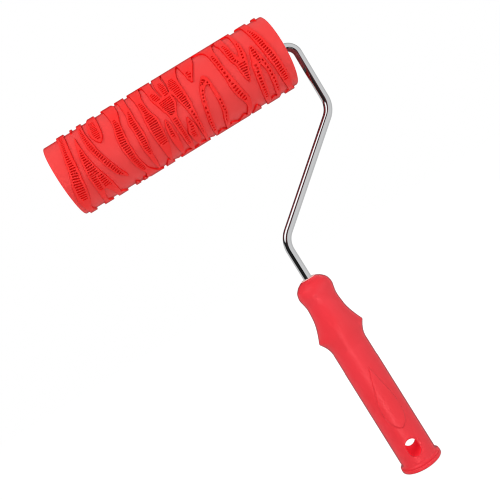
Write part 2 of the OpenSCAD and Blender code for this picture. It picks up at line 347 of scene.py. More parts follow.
def sleeve_rubber():
    """Red rubber whose colour follows the height of the relief: slots, ground, walls and ridge tops, with
    painted shade and painted light.
    """
    material, tree, shader = new_material("sleeve_rubber")
    level = add_node(tree, "MapRange", {
        "Value": radius_from_axis(tree), "From Min": (GROUND_R - SLOT_SINK) * MM, "From Max": RIDGE_R * MM,
    }).outputs["Result"]
    ground = SLOT_SINK / (SLOT_SINK + RELIEF)
    slot, ground_low, ground_high = ground * 0.3, ground * 0.75, ground * 1.2
    wall_low, wall_high, top = 0.34, 0.78, 0.93
    # Painted shade: the slots' floors and the walls are a darker, deeper red than the ground; pale is the
    # ground's own tone.
    pale, wall_shade_red = (0.87, 0.054, 0.052), (0.88, 0.006, 0.006)
    colour = ramp(tree, level, [(slot, (0.85, 0.001, 0.001)), (ground_low, pale), (ground_high, pale),
                                (wall_low, wall_shade_red), (wall_high, wall_shade_red), (top, (0.93, 0.025, 0.022))])
    patches = noise(tree, 40)
    colour = tinted(tree, colour, map_range(tree, patches, 0.0, 0.25), (0.92, 0.8, 0.8))
    # Painted shade: the rubber is darker for rays that come by way of the chrome.
    colour = tinted(tree, colour, seen_in_mirror(tree), MIRROR_SHADE_TINT)
    # Painted shade: a darker outline where the rubber turns away from the viewer.
    rim = rim_factor(tree, 0.66, 0.9)
    # Painted light: the slots and walls glow red, which keeps them a deep red in their shade; the glow is
    # left out for rays from the chrome.
    glow = ramp(tree, level, [(0.0, grey(SLOT_PAINTED_LIGHT)), (ground_low, grey(0.0)), (ground_high, grey(0.0)),
                              (wall_low, grey(WALL_PAINTED_LIGHT)), (wall_high, grey(WALL_PAINTED_LIGHT)), (top, grey(0.0))])
    set_inputs(tree, shader, {
        "Base Color": tinted(tree, colour, rim, RUBBER_OUTLINE_SHADE),
        "Roughness": map_range(tree, patches, 0.4, 0.52),
        "Specular IOR Level": map_range(tree, rim, 0.25, 0.06),
        "Emission Color": (1.0, 0.0, 0.0),
        "Emission Strength": maths(tree, "MULTIPLY", glow, one_minus(tree, seen_in_mirror(tree))),
        "Normal": grain(tree, 2600, 0.15, 0.02),
    })
    return material


def handle_plastic():
    """Red moulded plastic with a soft sheen and a painted dark outline, matt inside the hanging slot, where
    painted light makes it glow faintly.
    """
    material, tree, shader = new_material("handle_plastic")
    patches, skin = noise(tree, 25), outer_skin(tree)
    colour = mottle(tree, patches, (0.82, 0.027, 0.038), (0.85, 0.032, 0.047))
    # Painted shade: a darker outline where the plastic turns away, kept off the slot's walls.
    rim = maths(tree, "MULTIPLY", rim_factor(tree, 0.58, 0.86), skin)
    colour = tinted(tree, colour, rim, PLASTIC_OUTLINE_SHADE)
    set_inputs(tree, shader, {
        # Painted highlight: the pale ring on the mouth's lip.
        "Base Color": blended(tree, colour, painted_lip_highlight(tree), LIP_HIGHLIGHT_COLOUR),
        "Roughness": map_range(tree, patches, 0.38, 0.45),
        "Specular IOR Level": maths(tree, "MULTIPLY", map_range(tree, rim, 0.36, 0.08), skin),
        # Painted light: the slot's walls and the middle of the butt's face glow faintly.
        "Emission Color": (0.14, 0.006, 0.012),
        "Emission Strength": one_minus(tree, skin),
        "Normal": grain(tree, 900, 0.08, 0.02),
    })
    return material


def wire_chrome():
    """Bright plating, painted nearly black where it would mirror the small sheen light: a painted dark
    reflection.
    """
    material, tree, shader = new_material("wire_chrome")
    patches = noise(tree, 60)
    colour = mottle(tree, patches, (0.86, 0.87, 0.88), (0.9, 0.9, 0.91))
    mirrored = add_node(tree, "TexCoord").outputs["Reflection"]
    heading, half_angle, softness, _ = SHEEN_PATCH
    sheen = patch_of_light(tree, mirrored, heading, half_angle + 6, softness + 2, 1.0)
    set_inputs(tree, shader, {
        # Painted dark reflection: nearly black over the sheen light's patch.
        "Base Color": tinted(tree, colour, sheen, grey(0.02)),
        "Roughness": map_range(tree, patches, 0.03, 0.07),
        "Metallic": 1.0,
        "Normal": grain(tree, 500, 0.03, 0.01),
    })
    return material


def cap_plastic():
    """Red moulded plastic of the roller's end caps."""
    material, tree, shader = new_material("cap_plastic")
    patches = noise(tree, 60)
    colour = mottle(tree, patches, (0.62, 0.02, 0.02), (0.7, 0.026, 0.026))
    set_inputs(tree, shader, {
        # Painted shade: the caps are darker for rays that come by way of the chrome.
        "Base Color": tinted(tree, colour, seen_in_mirror(tree), MIRROR_SHADE_TINT),
        "Roughness": map_range(tree, patches, 0.42, 0.55),
        "Normal": grain(tree, 1800, 0.3, 0.05),
    })
    return material


def plain_finish(name, dark, light, roughness, patch_scale, grain_settings, metallic=0.0):
    """A hidden part's surface: faint colour mottle, uneven roughness and a fine grain."""
    material, tree, shader = new_material(name)
    patches = noise(tree, patch_scale)
    set_inputs(tree, shader, {
        "Base Color": mottle(tree, patches, dark, light),
        "Roughness": map_range(tree, patches, *roughness),
        "Metallic": metallic,
        "Normal": grain(tree, *grain_settings),
    })
    return material


def hub_plastic():
    """Black moulded plastic."""
    return plain_finish("hub_plastic", (0.02, 0.02, 0.022), (0.032, 0.032, 0.034), (0.42, 0.55), 60,
                        (1800, 0.3, 0.05))


def bush_nylon():
    """Natural nylon, a warm off-white."""
    return plain_finish("bush_nylon", (0.7, 0.69, 0.62), (0.78, 0.77, 0.71), (0.4, 0.5), 80,
                        (1500, 0.2, 0.04))


def core_plastic():
    """Pale grey tube plastic."""
    return plain_finish("core_plastic", (0.74, 0.74, 0.72), (0.82, 0.82, 0.8), (0.45, 0.6), 50,
                        (1200, 0.25, 0.05))


def zinc_steel():
    """Zinc-plated steel of the washers, collar and nut."""
    return plain_finish("zinc_steel", (0.5, 0.5, 0.5), (0.68, 0.68, 0.66), (0.22, 0.36), 260,
                        (1400, 0.25, 0.03), metallic=1.0)


# ---------------------------------------------------------------- sleeve pattern

# A motif is one ridge or a few that touch: a list of bands, then a list of ladders.
# A band lies between two edges. A knot gives the angle round the sleeve in degrees (0 faces -Y, +90 is
# up) and the band's left and right edge, in millimetres from the sleeve's middle.
# A ladder is a row of slots cut across a ridge: first its pitch in degrees, then knots of the same kind.
MOTIFS = {
    "A": ([[(112, -73.5, -73.3), (92, -76.6, -72.4), (75, -77.4, -72.4), (60, -77.3, -71.8),
            (40, -76.9, -71.6), (23, -77.5, -72), (10, -78.8, -72.7), (0, -79.5, -73), (-10, -81, -73.7),
            (-20, -82.7, -74.7), (-30, -84.4, -75.3), (-40, -85.4, -76.3), (-52, -86, -78),
            (-70, -85.4, -81), (-92, -84.2, -83)]],
          [(3.6, (60, -75.6, -73.4), (40, -75.5, -73.3), (24, -76.3, -74.2), (10, -77.6, -74.6),
            (0, -78.3, -74.6), (-10, -79.6, -75), (-20, -81.5, -76.1), (-30, -82.8, -77),
            (-40, -83.6, -77.8), (-51, -83, -79.5))]),
    "B": ([[(36, -65.6, -65.2), (25, -66.8, -65), (10, -68.3, -64.6), (0, -69.2, -64.1), (-10, -70, -63.4),
            (-20, -70.7, -62.4), (-30, -71.1, -61), (-40, -71.3, -59.8), (-52, -71.2, -59)],
           [(-48, -71.2, -66), (-55, -71.4, -67), (-65, -71.6, -68.4), (-85, -71.8, -69.5),
            (-100, -71, -70.4)],
           [(-48, -66, -59), (-55, -64.5, -58.8), (-65, -62.6, -58.6), (-85, -62, -58.8),
            (-102, -61, -60)]],
          [(3.5, (14, -66.6, -65.8), (9, -67, -65.3), (5, -67.8, -65.2), (-2, -68.1, -65),
            (-10, -68.8, -64), (-20, -69.5, -63.4), (-26, -69.8, -62.8)),
           (3.5, (-27, -69.8, -66), (-40, -69.9, -66.4), (-51, -69.6, -67)),
           (3.5, (-28.7, -65.2, -62), (-40, -65.4, -61.1), (-51, -65, -60))]),
    "C": ([[(100, -60.5, -59.8), (85, -62.3, -58.4), (75, -61.5, -58), (40, -61.2, -57.8),
            (30, -61.3, -57.6), (20, -61.2, -57), (10, -61, -56.3), (0, -60, -55.5), (-10, -58.7, -54.3),
            (-20, -57.7, -52.8), (-30, -56, -51.3), (-40, -54.3, -49.7), (-50, -50.5, -48),
            (-55, -48.6, -47.9)]],
          [(3.5, (50, -60.4, -58.8), (30, -60.6, -58.6), (11, -60.1, -57.6), (0, -59, -56.4),
            (-10, -57.8, -54.9), (-20, -56.7, -53.4), (-30, -55.1, -52), (-40, -53.5, -50.5),
            (-46, -52.3, -49.8))]),
    "D": ([[(100, -50.5, -49.5), (85, -52.4, -47.7), (68, -52.6, -47.4), (57, -53.5, -46.8),
            (45, -54.5, -46.6), (30, -55.5, -47), (20, -55, -47.6), (13, -53.6, -48.6), (8, -51.8, -50.8)]],
          [(3.2, (48, -52.6, -49), (30, -53.2, -48.8), (22, -53.4, -48.8), (12, -52.2, -49.8))]),
    "E": ([[(108, -37.4, -37), (95, -40, -35.4), (80, -41.9, -34), (70, -40.6, -33.4), (58, -40, -31.8),
            (40, -39, -31.3), (35, -38.8, -31.6), (25, -38.6, -32.8), (15, -39.4, -34), (5, -40.8, -34.5),
            (-10, -41.9, -35.2), (-20, -41.8, -35.5), (-30, -41.4, -35.5), (-40, -40.8, -35.3),
            (-50, -39.9, -34.6), (-60, -38.4, -33.6), (-70, -36.8, -31.6), (-85, -37.6, -28.4),
            (-100, -34, -29), (-112, -31, -30)]],
          [(3.4, (27, -37.3, -35.6), (16, -38.3, -34.8), (8, -39.3, -35), (-2, -40.4, -35.9),
            (-10, -40.9, -36.4), (-20, -40.7, -36.6), (-37, -39.9, -36.6), (-44, -39.2, -36.1),
            (-53, -38.7, -35.2), (-62, -37, -35))]),
    "F": ([[(108, -27.6, -27.2), (95, -29.6, -25), (80, -30.6, -23.4), (60, -28.6, -23.6), (40, -28, -23.6),
            (20, -28, -23.4), (10, -29.2, -23.6), (0, -29.2, -23.4), (-10, -29.2, -23.2),
            (-20, -29.5, -23.6), (-30, -29.8, -24.4), (-45, -29.3, -25.7), (-60, -28.6, -25.8),
            (-80, -27.6, -26.8)]],
          [(3.3, (26, -25.7, -24.7), (20, -26.6, -24.8), (12, -28.1, -24.8), (0, -28, -24.9),
            (-14, -28.2, -24.7), (-24, -28.4, -24.8), (-32, -28.6, -25.5), (-38, -28.2, -25.6),
            (-42, -27.7, -26.3))]),
    "G": ([[(110, -17, -16.6), (95, -19.5, -12.5), (80, -20.4, -11.2), (60, -19.2, -11.6),
            (45, -18.5, -11.9), (35, -18, -12.9), (25, -17.9, -13), (15, -18, -12.8), (5, -18.6, -11.7),
            (0, -19, -10.9), (-6, -19.2, -10.2), (-15, -19.5, -10.7), (-25, -19.4, -11.2),
            (-35, -19, -11.8), (-45, -18.7, -12.5), (-60, -18.3, -14.3), (-75, -17.2, -15.8),
            (-85, -16.8, -16.4)]],
          [(3.3, (28, -17, -15), (20, -16.9, -14), (9, -16.7, -13.6), (3, -17.7, -12.8), (-3, -17.9, -12.1),
            (-9, -18.1, -11.7), (-18, -18.3, -11.9), (-27, -18.2, -12.4), (-37, -17.9, -12.6),
            (-42, -16.4, -13.4))]),
    "H": ([[(108, -6.6, -6.2), (95, -10.4, -3), (80, -11.6, -2.2), (60, -9, -2.4), (40, -8.2, -2.5),
            (30, -8, -2.3), (22, -7.8, -1.7), (14, -7, -1)],
           [(18, -7.4, 5.6), (14, -6.9, 5.8), (8, -6, 6), (2, -5.2, 6), (-2, -4.7, 5.2), (-6, -3.9, 4.2),
            (-10, -3.3, 3.1), (-15, -3.1, 2), (-20, -3.1, 1.6), (-30, -2.9, 1.6), (-40, -2.6, 1.7),
            (-50, -2.3, 1.9), (-65, -1.9, 2.1), (-80, -0.6, 1.8), (-96, 0.4, 1)]],
          [(3.3, (31, -7, -5), (27, -7.2, -3.6), (22, -7, -2.6), (16, -6, -2.2)),
           (2.8, (13, -4.9, 4.5), (5, -4.4, 4.8), (0, -3.8, 4.3), (-4, -3, 3.2), (-8, -2.4, 2.3),
            (-11, -2, 1)),
           (3.5, (-16, -2, 0.2), (-22, -2.1, 0.7), (-33, -1.6, 0.7), (-49, -1.2, 1), (-64, -0.8, 0.9))]),
    "I": ([[(108, 2.8, 3.2), (95, 0.4, 6.2), (80, -0.2, 7.2), (60, 0, 6), (50, -0.6, 5.4), (40, -1, 5.4),
            (30, -0.8, 5.5), (22, -0.2, 5), (14, 0, 5)]],
          [(3.4, (43, 1.4, 3.6), (36, 1.2, 4.6), (28, 1, 4.6), (20, 1.2, 4.6), (15.5, 1.6, 4.8))]),
    "J": ([[(108, 13, 13.6), (95, 8.2, 19), (85, 7, 21.4), (68, 7.4, 21), (60, 7.2, 18.8), (50, 6.8, 17.2),
            (40, 6.7, 15.9), (30, 6.6, 14.8), (22, 6, 14.6), (16, 5.4, 14.6), (10, 6.8, 14.7),
            (2, 7.6, 14.8), (-10, 8.8, 14.8), (-20, 9.7, 14), (-30, 10.2, 13.9), (-45, 10.6, 13.6),
            (-60, 10.8, 13.4), (-80, 11.4, 13.2), (-98, 12, 12.8)]],
          [(3.2, (37, 8.8, 12), (30, 7.8, 13), (24, 7, 13.2), (15, 7.8, 13.2), (5, 8.3, 13), (0, 8.8, 13.4),
            (-7, 9.3, 12.8), (-12, 10.1, 13.1), (-16, 10.6, 12.8)),
           (5, (-19, 11, 12.4), (-30, 11.3, 12.8), (-43, 11.6, 12.5), (-57, 11.5, 12.3))]),
    "K": ([[(108, 27, 27.4), (95, 23, 31.4), (85, 21.2, 33.4), (68, 20.5, 32.4), (60, 20, 31.5),
            (45, 20.2, 30.3), (40, 20.3, 29.3), (32, 20.6, 27.5), (25, 20.9, 25.8), (20, 21, 24.4),
            (14, 22.2, 23)]],
          [(4.4, (33, 22, 23), (28, 21.6, 25.2), (23.5, 21.8, 24.1), (18, 21.7, 22.6))]),
    "L": ([[(13, 28.9, 31), (12, 28.4, 31.4), (8, 27, 32.4), (4, 25.3, 32.7), (0, 24.2, 32.8),
            (-1, 24, 32.9)],
           [(0, 24.2, 29.5), (-3, 23.5, 27.5), (-7, 22.7, 26), (-15, 21.4, 24.5), (-25, 20.3, 23.3),
            (-35, 19.4, 22.5), (-50, 18.4, 21.5), (-65, 18.4, 21.2), (-80, 19, 21), (-96, 19.8, 20.4)],
           [(0, 29.5, 32.8), (-3, 30.8, 33), (-10, 31, 33.3), (-30, 30.9, 33.8), (-45, 30.3, 33.6),
            (-60, 28.8, 32.5), (-75, 28.4, 31.5), (-92, 29, 30.4)]],
          [(3.5, (9, 27.9, 30.8), (5, 26.4, 30), (2, 25.2, 27.4)),
           (4.5, (-3, 25.2, 26.4), (-7, 24, 25.2), (-15, 22.3, 23.5), (-21, 21.4, 22.6)),
           (7, (-24, 20.8, 22), (-42, 19.5, 20.8)),
           (5.5, (-43, 19.2, 20.4), (-70, 19.2, 20.2)),
           (4.4, (3.4, 30, 31.2), (-3, 30.4, 31.6), (-6, 31.4, 32.2)),
           (5.5, (-25, 32, 33.1), (-39, 31.5, 32.7), (-50, 31.4, 32.5), (-59, 29.8, 30.9),
            (-66, 29.6, 30.8))]),
    "M": ([[(112, 40, 44), (95, 34, 53.6), (80, 32.8, 55.4), (68, 33.6, 50.5), (60, 37, 47.8),
            (50, 39.8, 46.9), (40, 40.8, 46), (20, 41.5, 45.7), (10, 41.8, 45.7), (0, 42.2, 46.4),
            (-10, 42.5, 47.3), (-20, 42.5, 48.1), (-30, 43.2, 49), (-40, 44.5, 50.4), (-50, 46.3, 51.4),
            (-60, 47.5, 51), (-80, 46, 49.5), (-95, 47.2, 48)]],
          [(4.3, (34, 42.2, 43.7), (28, 42, 44.2), (19, 42.5, 44.6), (5, 42.9, 44.7)),
           (6.2, (3, 43.4, 44.6), (-5, 43.2, 44.9), (-11, 43.5, 45.1), (-19, 43.9, 45.9)),
           (4.8, (-21, 43.5, 46.3), (-27, 43.9, 47), (-32, 44.6, 47.5), (-37, 45.3, 48.3), (-42, 45.8, 49),
            (-47, 46.6, 49.4), (-51, 48, 49.4))]),
    "N": ([[(94, 59, 61), (84, 57.3, 63.7), (73, 54, 63.4)],
           [(75, 52.6, 57), (60, 50.2, 55.8), (50, 49.8, 55.7), (40, 50.8, 55.8), (30, 50.9, 56),
            (20, 51.2, 56.4), (10, 51.8, 57.6), (6, 52.5, 58.4)],
           [(75, 58.6, 63), (60, 60.4, 62.8), (40, 60.6, 62.8), (30, 60.3, 63.3), (20, 59.8, 63.4),
            (12, 58.6, 63.2), (6, 57.6, 62.9)],
           [(8, 52, 63), (0, 53.5, 62.2), (-5, 53.6, 61.2), (-10, 53.8, 60.4), (-15, 54.1, 59.6),
            (-20, 54.4, 58.8), (-25, 55.1, 57.6), (-29, 56, 56.6)]],
          [(3.9, (40, 52, 54), (30, 52.6, 54.6), (25, 52.2, 55.2), (17, 52.3, 55.4), (9.6, 52.8, 55.2),
            (3, 54, 56.4)),
           (4.6, (30, 61.3, 62.2), (17, 61.2, 62.2), (13.4, 60.5, 61.9), (9.6, 60, 61.4), (3, 59.1, 60.7)),
           (3.5, (0.5, 54.7, 60), (-7, 54.5, 60), (-10.6, 54.9, 59.1), (-14, 55.2, 58.6),
            (-17.6, 55.2, 58.1), (-21, 55.5, 57.6), (-26, 55.5, 56.7))]),
    "O": ([[(14, 68, 69.4), (8, 66.2, 70.1), (0, 64.8, 71.1), (-5, 64, 71.6), (-10, 62.8, 72.1),
            (-16, 62.2, 72.6)],
           [(-14, 62.4, 68.3), (-20, 61.9, 67), (-30, 61.3, 66), (-40, 61, 65.6), (-60, 60.9, 65.5),
            (-75, 61.5, 65.6), (-92, 63, 64.6)],
           [(-14, 68.3, 72.4), (-20, 69.2, 73), (-30, 70.1, 73.5), (-50, 70, 73.8), (-70, 70.2, 73.5),
            (-90, 71, 73)]],
          [(3.9, (12.4, 67.8, 68.7), (9, 67.3, 69.2), (2.9, 67, 69.8), (-1, 66.4, 69.8), (-4.9, 67, 69.9),
            (-8.5, 67.4, 69.9), (-13, 67.8, 69)),
           (4.7, (-11, 63.9, 65.7), (-18, 64.1, 65.7), (-22, 63.1, 65.1), (-32, 62.4, 64.5),
            (-41, 62.1, 64.1), (-66, 62.1, 63.9)),
           (6, (-9, 70.1, 71.3), (-16, 70.4, 71.6), (-27, 71, 72.2), (-45, 71.6, 72.8),
            (-66, 71.7, 72.9))]),
    "P": ([[(102, 74, 75), (88, 69.2, 77.2), (72, 70, 76.8), (60, 71.6, 76.4), (40, 72, 76.8),
            (30, 72.3, 77.7), (20, 72.7, 78.6), (10, 73.1, 79.4), (0, 73.8, 80.2), (-10, 74.4, 81),
            (-20, 75, 81.5), (-30, 75.9, 81.9), (-45, 76.8, 82.5), (-60, 78, 83), (-75, 79.5, 83),
            (-92, 81, 82)]],
          [(4.0, (40, 73, 73.9), (30, 73.7, 75.9), (24.5, 73.4, 76.6), (19, 73.9, 77), (10, 74.4, 77.7),
            (2, 74.9, 78), (-6, 75.4, 78.9), (-17.6, 76.3, 79.7), (-32.5, 77, 80.4), (-37, 77.3, 80.9),
            (-45, 78.2, 81.3), (-55, 78.3, 81.4))]),
    "W": ([[(96, 83.4, 84), (82, 82.4, 85.2), (70, 82.6, 84.8), (58, 83.4, 84)]], []),
    "X": ([[(92, -66.3, -66), (80, -67, -65.4), (66, -66.8, -65.6), (54, -66.4, -66)]], []),
    "Q": ([[(-12, -6.8, -6.6), (-20, -8.6, -5.1), (-30, -9.5, -4.9), (-40, -9.8, -4.8), (-55, -9.5, -5),
            (-70, -8.5, -6), (-80, -7.6, -6.8)]],
          [(3.4, (-15, -7, -6.3), (-21.4, -7.6, -6.1), (-27.6, -8.1, -5.9), (-35.4, -8.7, -6.1),
            (-40, -7.6, -6.1))]),
    "R": ([[(-25.5, 6.8, 7.2), (-30, 5.5, 8), (-35, 4.8, 8.9), (-40, 3.7, 9.4), (-45, 2.8, 9.6),
            (-55, 3, 9.4), (-70, 4.4, 8.4), (-84, 5.6, 6.6)]],
          [(4, (-30, 6.2, 7.4), (-38.5, 6, 8), (-44, 5, 7.9)),
           (3.6, (-46, 4.2, 7.3), (-58, 4.2, 7.3))]),
}
# Ridges that run under the sleeve, from the ends of the front ones: left, right and upper end of each.
UNDER_RIDGES = [(-85.5, -80.5, -66), (-73.5, -66.5, -82), (-62, -54.5, -80), (-47.5, -43.7, -78),
                (-41.2, -37.8, -80), (-35.5, -24.6, -82), (-22, -15.2, -72), (-9.5, 2.5, -80),
                (1.5, 14.6, -82), (19.9, 29, -80), (28, 39, -78), (38.4, 47.8, -76), (50.5, 57.6, -72),
                (63.3, 73.2, -76), (78.3, 85.4, -80)]
# Angles between which an under ridge is full, where it has thinned a little and where it ends.
UNDER_FULL = (-94, -103)
UNDER_END = -112
UNDER_TIP = -128
UNDER_LADDER = (-98, -120)
UNDER_PITCH = 3.4

# The back carries the same ridges turned round, mirrored end for end and drawn in towards its middle,
# less on the side that meets the front ridges over the top than on the side that meets them underneath.
BACK_TURN = 182.0
BACK_MIDDLE = 5.0
BACK_SCALE_TOP = 0.72
BACK_SCALE_UNDER = 0.62
BACK_SHIFT = 2.0

# Grid of the sleeve's outside. Level areas have one face for up to LARGEST_BLOCK cells each way.
ROWS = 640
COLUMNS = 528
LARGEST_BLOCK = 8
# How far a wall leans out from top to foot, the corners of the slots and a slot's share of the pitch.
WALL_RUN = 0.28
SLOT_CORNER = 0.32
SLOT_SHARE = 0.56
MM_PER_DEGREE = math.radians(1) * RIDGE_R
ROW_MM = 360 / ROWS * MM_PER_DEGREE
# How far a grid point may move towards the pattern's outline, as a share of its cell, and the least
# squared slope of the field that the move is worked out with.
LARGEST_SHIFT = 0.48
LEAST_SLOPE = 0.3
# Distances in millimetres: how far the grid is worked out beyond a band, how far a slot may pass the
# end of its ladder, and a value for points that no band reaches.
END_REACH = 1.5
SLOT_OVERRUN = 0.2
FAR = 9.0
# The plain ends and the bore have one point for every few rows of the pattern.
END_ROWS = 4
BORE_EDGE = 0.25


def under_motif(left, right, top):
    """A leaf that fills out below the front ridges and tapers away at the back."""
    middle, half = (left + right) / 2, (right - left) / 2
    shape = [(top, 0.15), ((top + UNDER_FULL[0]) / 2, 0.7), (UNDER_FULL[0], 1.0), (UNDER_FULL[1], 1.0),
             (UNDER_END, 0.8), (UNDER_TIP, 0.15)]
    band = [(angle, middle - half * share, middle + half * share) for angle, share in shape]
    rungs = [(angle, middle - half * share, middle + half * share)
             for angle, share in zip(UNDER_LADDER, (0.55, 0.275))]
    return [band], [(UNDER_PITCH, *rungs)]


def turned_back(motif):
    """A front motif turned round to the back of the sleeve."""
    bands, ladders = motif

    def move(knot):
        angle, left, right = knot
        scale = BACK_SCALE_TOP if angle < BACK_MIDDLE else BACK_SCALE_UNDER
        return BACK_TURN + scale * (angle - BACK_MIDDLE), BACK_SHIFT - right, BACK_SHIFT - left

    moved_bands = [[move(knot) for knot in band] for band in bands]
    moved_ladders = [(BACK_SCALE_TOP * pitch, *(move(knot) for knot in knots)) for pitch, *knots in ladders]
    return moved_bands, moved_ladders


def slot_distance_field(across, along, half_across, half_along):
    """Distance from the outline of a round-cornered slot, negative inside it."""
    corner = np.minimum(SLOT_CORNER, np.minimum(half_across, half_along))
    a = np.abs(across) - (half_across - corner)
    b = np.abs(along) - (half_along - corner)
    return np.hypot(np.maximum(a, 0), np.maximum(b, 0)) + np.minimum(np.maximum(a, b), 0) - corner


def band_patch(knots, angles, xs):
    """The part of the grid that a band covers, and each point's place in the band.

    Returns the patch, the distances across, from the top and from the nearer end, the half width and
    the lean.
    """
    low, high = min(k[0] for k in knots), max(k[0] for k in knots)
    reach = END_REACH / MM_PER_DEGREE
    middle = (low + high) / 2
    local = (angles - middle + 180) % 360 - 180 + middle
    rows = np.where((local >= low - reach) & (local <= high + reach))[0]
    rows = rows[np.argsort(local[rows])]
    theta = local[rows]
    left = curve_through([(k[0], k[1]) for k in knots], theta)
    right = curve_through([(k[0], k[2]) for k in knots], theta)
    columns = np.where((xs > left.min() - END_REACH) & (xs < right.max() + END_REACH))[0]
    centre = ((left + right) / 2)[:, None]
    half = ((right - left) / 2)[:, None]
    lean = np.gradient(centre[:, 0], theta * MM_PER_DEGREE)[:, None]
    across = xs[columns][None, :] - centre
    from_top = (high - theta[:, None]) * MM_PER_DEGREE
    from_end = np.minimum(from_top, (theta[:, None] - low) * MM_PER_DEGREE)
    return np.ix_(rows, columns), across, from_top, from_end, half, lean


def relief_field(angles, xs):
    """Distance inside the raised pattern's outline, in millimetres, on a grid of angles and x.

    Also returns which points lie on the floor of a slot.
    """
    ridges = np.full((len(angles), len(xs)), -FAR)
    slots = np.full_like(ridges, FAR)
    front = list(MOTIFS.values())
    under = [under_motif(*ridge) for ridge in UNDER_RIDGES]
    for bands, ladders in front + under + [turned_back(motif) for motif in front]:
        for knots in bands:
            patch, across, _, from_end, half, lean = band_patch(knots, angles, xs)
            inside = np.minimum((half - np.abs(across)) / np.sqrt(1 + lean**2), from_end)
            ridges[patch] = np.maximum(ridges[patch], inside)
        for pitch, *knots in ladders:
            patch, across, from_top, from_end, half, lean = band_patch(knots, angles, xs)
            pitch_mm = pitch * MM_PER_DEGREE
            climb = from_top - lean * across
            along = climb % pitch_mm - pitch_mm / 2
            gap = slot_distance_field(across, along, half, SLOT_SHARE * pitch_mm / 2)
            gap = np.maximum(gap, -from_end - SLOT_OVERRUN)
            slots[patch] = np.minimum(slots[patch], gap)
    return np.minimum(ridges, slots), (slots < -WALL_RUN / 2) & (ridges > slots)


def snapped_grid(field, xs):
    """Grid points moved onto the pattern's outline and the foot of its walls.

    Returns the shifts round and along the sleeve in millimetres, and which points are on top.
    """
    cell = xs[1] - xs[0]
    around, along = np.gradient(np.pad(field, ((1, 1), (0, 0)), mode="wrap"), ROW_MM, cell)
    around, along = around[1:-1], along[1:-1]
    steep = np.maximum(around**2 + along**2, LEAST_SLOPE)
    raised = field > -WALL_RUN / 2
    edge = np.where(raised, 0.0, -WALL_RUN)
    near = np.where(raised, field < WALL_RUN / 2, field > -1.5 * WALL_RUN)
    need = np.where(near, edge - field, 0.0) / steep
    move_around = np.clip(need * around, -LARGEST_SHIFT * ROW_MM, LARGEST_SHIFT * ROW_MM)
    move_along = np.clip(need * along, -LARGEST_SHIFT * cell, LARGEST_SHIFT * cell)
    move_along[:, [0, -1]] = 0
    return move_around, move_along, raised


def level_blocks(raised):
    """Square blocks of cells as (row, column, size): level areas in large blocks, the rest cell by cell."""
    rows, columns = raised.shape[0], raised.shape[1] - 1
    wrapped = np.concatenate([raised, raised[:LARGEST_BLOCK]])
    taken = np.zeros((rows, columns), bool)
    blocks = []
    size = LARGEST_BLOCK
    while size >= 1:
        for r in range(0, rows, size):
            for c in range(0, columns, size):
                if taken[r, c]:
                    continue
                corner = wrapped[r:r + size + 1, c:c + size + 1]
                if size == 1 or corner.all() or not corner.any():
                    taken[r:r + size, c:c + size] = True
                    blocks.append((r, c, size))
        size //= 2
    return blocks


def block_faces(raised, first, row_step):
    """Faces over the grid, one for each block, and the grid points that they use.

    A grid point's number is row * row_step + first + column, and rows wrap round.
    """
    rows = len(raised)
    blocks = level_blocks(raised)
    used = np.zeros(raised.shape, bool)
    for r, c, size in blocks:
        top = (r + size) % rows
        used[r, c] = used[r, c + size] = used[top, c] = used[top, c + size] = True
    used[::END_ROWS, [0, -1]] = True
    faces = []
    for r, c, size in blocks:
        loop = [(r, c + k) for k in range(size)] + [(r + k, c + size) for k in range(size)]
        loop += [(r + size, c + size - k) for k in range(size)] + [(r + size - k, c) for k in range(size)]
        faces.append(tuple(row % rows * row_step + first + column
                           for row, column in loop if used[row % rows, column]))
    return faces, used


def end_faces(edge_rows, edge, columns, step):
    """Faces of one rounded end, joined to the points in use along the pattern's edge."""
    columns = list(columns)
    if columns[0] < edge:
        columns.reverse()
    faces = []
    for row in range(0, ROWS, END_ROWS):
        above = (row + END_ROWS) % ROWS
        along = [r * step + edge for r in edge_rows if row <= r < row + END_ROWS] + [above * step + edge]
        faces.append(tuple(along) + (above * step + columns[0], row * step + columns[0]))
        for near, far in zip(columns, columns[1:]):
            faces.append((row * step + near, above * step + near, above * step + far, row * step + far))
    return faces


